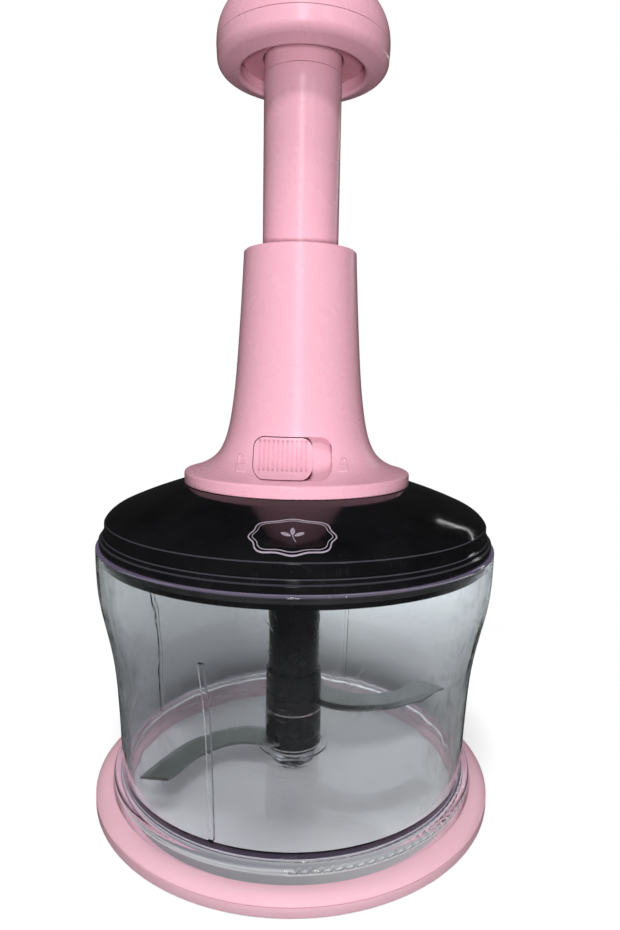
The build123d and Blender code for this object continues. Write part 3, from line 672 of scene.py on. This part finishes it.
FLOOR_REACH = 0.4
FLOOR_FADE = (0.10, 0.26)           # radii between which it fades into the surroundings
PALE_FLOOR = (0.94, 0.94, 0.945, 1)
PALE_FLOOR_SHADE = (0.90, 0.90, 0.91, 1)
# Painted light on the floor under the chopper, seen through the bowl, where the lid's shadow falls
NEAR_FLOOR = (0.81, 0.83, 0.83, 1)  # what the glass shows of the floor under the chopper
NEAR_FLOOR_SHADE = (0.73, 0.75, 0.75, 1)
FAR_FLOOR_LEFT = (0.27, 0.285, 0.295, 1)
FAR_FLOOR_RIGHT = (0.47, 0.495, 0.49, 1)
UNDER_MIDDLE = (0, 0.02, 0)         # of the floor that counts as under the chopper
UNDER_EDGE = (0.070, 0.079)
FLOOR_LIFT = 0.28                   # own light of the floor towards the camera
# Painted light: the floor under the chopper glows, seen through the bowl
UNDER_PAINTED_LIGHT = 0.07                   # and through the bowl


def make_floor():
    """Pale round floor that fades into the white surroundings. Through the bowl it is grey, with
    painted light under the chopper.
    """
    ring_count, sides = 24, 96
    points = [(0, 0, 0)]
    faces = []
    for ring in range(1, ring_count + 1):
        r = FLOOR_REACH * (ring / ring_count) ** 1.6
        for step in range(sides):
            angle = 2 * pi * step / sides
            points.append((r * cos(angle), r * sin(angle), 0))
    for step in range(sides):
        turn = (step + 1) % sides
        faces.append((0, 1 + step, 1 + turn))
        for ring in range(ring_count - 1):
            here, out = 1 + ring * sides, 1 + (ring + 1) * sides
            faces.append((here + step, out + step, out + turn, here + turn))
    look, tree, shader, coords = material("floor")
    cloud = ranged(tree, noise(tree, coords, 150 * MM, 4.0), 0.3, 0.7)
    grain = noise(tree, coords, 1.2 * MM, 3.0)
    pale = blended(tree, cloud, PALE_FLOOR_SHADE, PALE_FLOOR)
    painted_light_near = blended(tree, cloud, NEAR_FLOOR_SHADE, NEAR_FLOOR)
    to_right = ranged(tree, axes_of(tree, coords)["X"], -0.04, 0.06)
    far = blended(tree, to_right, FAR_FLOOR_LEFT, FAR_FLOOR_RIGHT)
    from_middle = put(tree, "ShaderNodeVectorMath", {0: coords, 1: UNDER_MIDDLE},
                      operation="DISTANCE").outputs["Value"]
    under = ranged(tree, from_middle, *UNDER_EDGE, 1.0, 0.0)
    path = put(tree, "ShaderNodeLightPath").outputs
    # Painted light under the chopper, seen through the bowl
    through = product(tree, path["Is Transmission Ray"], under, UNDER_PAINTED_LIGHT)
    seen_through = blended(tree, under, far, painted_light_near)
    feed(tree, shader,
         Base_Color=blended(tree, path["Is Camera Ray"], seen_through, pale),
         Emission_Color=(1, 1, 1, 1),
         Emission_Strength=total(tree, product(tree, path["Is Camera Ray"], FLOOR_LIFT), through),
         Roughness=ranged(tree, grain, 0.2, 0.8, 0.55, 0.75),
         Normal=bumps(tree, grain, 0.03 * MM))
    from_axis = put(tree, "ShaderNodeVectorMath", {0: coords}, operation="LENGTH")
    clear = put(tree, "ShaderNodeBsdfTransparent").outputs[0]
    fading = put(tree, "ShaderNodeMixShader",
                 {0: ranged(tree, from_axis.outputs["Value"], *FLOOR_FADE),
                  1: shader.outputs[0], 2: clear})
    tree.links.new(fading.outputs[0], tree.nodes["Material Output"].inputs["Surface"])
    made = mesh_object("floor", points, faces, look)
    made.visible_glossy = False


# ---------------------------------------------------------------- light

# Strengths of the surroundings, for the kind of ray that reaches them
ALL_ROUND_LIGHT = 0.03
FRONT_LIGHT = 0.14
TOP_LIGHT = 0.08
DARK_BEHIND = 0.19          # left of the middle, behind the clear bowl
PALE_BEHIND = 0.76          # right of it
BEHIND_HALF = 0.10          # half the width of the change between them
GREY_ASIDE = 0.30           # share that is left of both at the far sides
MIRRORED_ALL_ROUND = 0.02
MIRRORED_IN_FRONT = 0.03
MIRRORED_IN_BOWL = 0.40
SEEN_FROM_BOWL = 0.04       # share of the grey that shows in front, by way of a gloss in the bowl
GREY_TINT = (0.93, 1.0, 0.99, 1)

# Where lamps point, on the chopper's axis
AT_FLOOR = (0, 0, 0.05)
AT_LID = (0, 0, 0.118)
AT_FLARE = (0, 0, 0.15)
AT_FLARE_TOP = (0, 0, 0.16)
AT_NECK = (0, 0, 0.20)
LEVEL = (1, 0, 0)


def soft_box(name, place, target, size, watts, along=LEVEL, diffuse=True, glossy=True):
    """Rectangular lamp, never seen itself, whose width lies along a direction."""
    lamp = bpy.data.lights.new(name, "AREA")
    lamp.shape = "RECTANGLE"
    lamp.size, lamp.size_y = size
    lamp.energy = watts
    back = (Vector(place) - Vector(target)).normalized()
    side = (Vector(along) - back * back.dot(Vector(along))).normalized()
    axes = Matrix((side, back.cross(side), back)).transposed().to_4x4()
    holder = bpy.data.objects.new(name, lamp)
    holder.matrix_world = Matrix.Translation(place) @ axes
    holder.visible_camera = False
    holder.visible_transmission = False
    holder.visible_diffuse = diffuse
    holder.visible_glossy = glossy
    scene.collection.objects.link(holder)


def make_world():
    """White backdrop. It lights the object from the front and above. Through the bowl it's grey."""
    world = bpy.data.worlds.new("surroundings")
    world.use_nodes = True
    scene.world = world
    tree = world.node_tree
    across, forth, up = axes_of(tree, put(tree, "ShaderNodeTexCoord").outputs["Generated"])
    ahead = maths(tree, "MULTIPLY", forth, -1.0)
    facing = ranged(tree, ahead, 0.0, 1.0)
    front = product(tree, facing, facing, FRONT_LIGHT)
    above = ranged(tree, up, 0.0, 1.0, 0.0, TOP_LIGHT)
    lit = total(tree, front, above, ALL_ROUND_LIGHT)
    grey = ranged(tree, across, -BEHIND_HALF, BEHIND_HALF, DARK_BEHIND, PALE_BEHIND)
    to_sides = ranged(tree, maths(tree, "ABSOLUTE", across), 0.35, 0.95, 1.0, GREY_ASIDE)
    to_front = ranged(tree, ahead, -0.3, 0.2, 1.0, SEEN_FROM_BOWL)
    path = put(tree, "ShaderNodeLightPath").outputs
    in_bowl = maths(tree, "GREATER_THAN", path["Transmission Depth"], 0.5)
    outer = total(tree, product(tree, facing, MIRRORED_IN_FRONT), MIRRORED_ALL_ROUND)
    inner = ranged(tree, ahead, -1.0, 0.3, MIRRORED_IN_BOWL, 0.0)
    mirrored = put(tree, "ShaderNodeMix", {0: in_bowl, 2: outer, 3: inner}).outputs[0]
    strength = total(tree, path["Is Camera Ray"],
                     product(tree, path["Is Diffuse Ray"], lit),
                     product(tree, path["Is Transmission Ray"], grey, to_sides, to_front),
                     product(tree, path["Is Glossy Ray"], mirrored))
    colour = blended(tree, path["Is Transmission Ray"], (1, 1, 1, 1), GREY_TINT)
    feed(tree, tree.nodes["Background"], Color=colour, Strength=strength)


def make_lamps():
    soft_box("key", (0.03, -0.95, 1.05), AT_FLARE, (0.16, 0.16), 7.0, glossy=False)
    soft_box("top", (-0.05, -0.50, 1.40), AT_FLOOR, (0.30, 0.30), 9.5, glossy=False)
    soft_box("low_front", (0.02, -0.80, -0.05), AT_NECK, (0.14, 0.14), 6.8, glossy=False)
    soft_box("rear", (0.05, 1.10, 0.34), AT_FLARE_TOP, (0.45, 0.30), 5.0, glossy=False)
    soft_box("rear_left", (-1.00, 0.45, 0.40), AT_FLARE_TOP, (0.30, 0.30), 1.0, glossy=False)
    # These four are seen only as glints
    soft_box("first_glint", (-0.03, -1.08, 0.74), AT_FLARE, (0.16, 0.11), 0.9, diffuse=False)
    soft_box("second_glint", (0.50, -0.98, 0.74), AT_FLARE, (0.07, 0.07), 0.35, diffuse=False)
    soft_box("sheen", (-0.02, -1.12, 0.42), AT_NECK, (0.12, 0.60), 1.4, diffuse=False)
    soft_box("shoulder", (0.65, 0.62, 0.46), AT_LID, (0.50, 0.035), 0.22,
             along=(0.452, -0.253, -0.281), diffuse=False)


# ---------------------------------------------------------------- the scene

looks = make_looks()
dress_nodes(looks)
coil_spring(looks["spring_steel"])
lock_signs(looks["pink_plastic"])
label(matt_polymer("print", (0.34, 0.29, 0.34, 1), (0.25, 0.21, 0.26, 1), 0.45, 0.7 * MM,
                   0.01 * MM))
NODES["bowl"].visible_shadow = False
make_camera()
make_floor()
make_world()
make_lamps()
scene.view_settings.view_transform = "Standard"
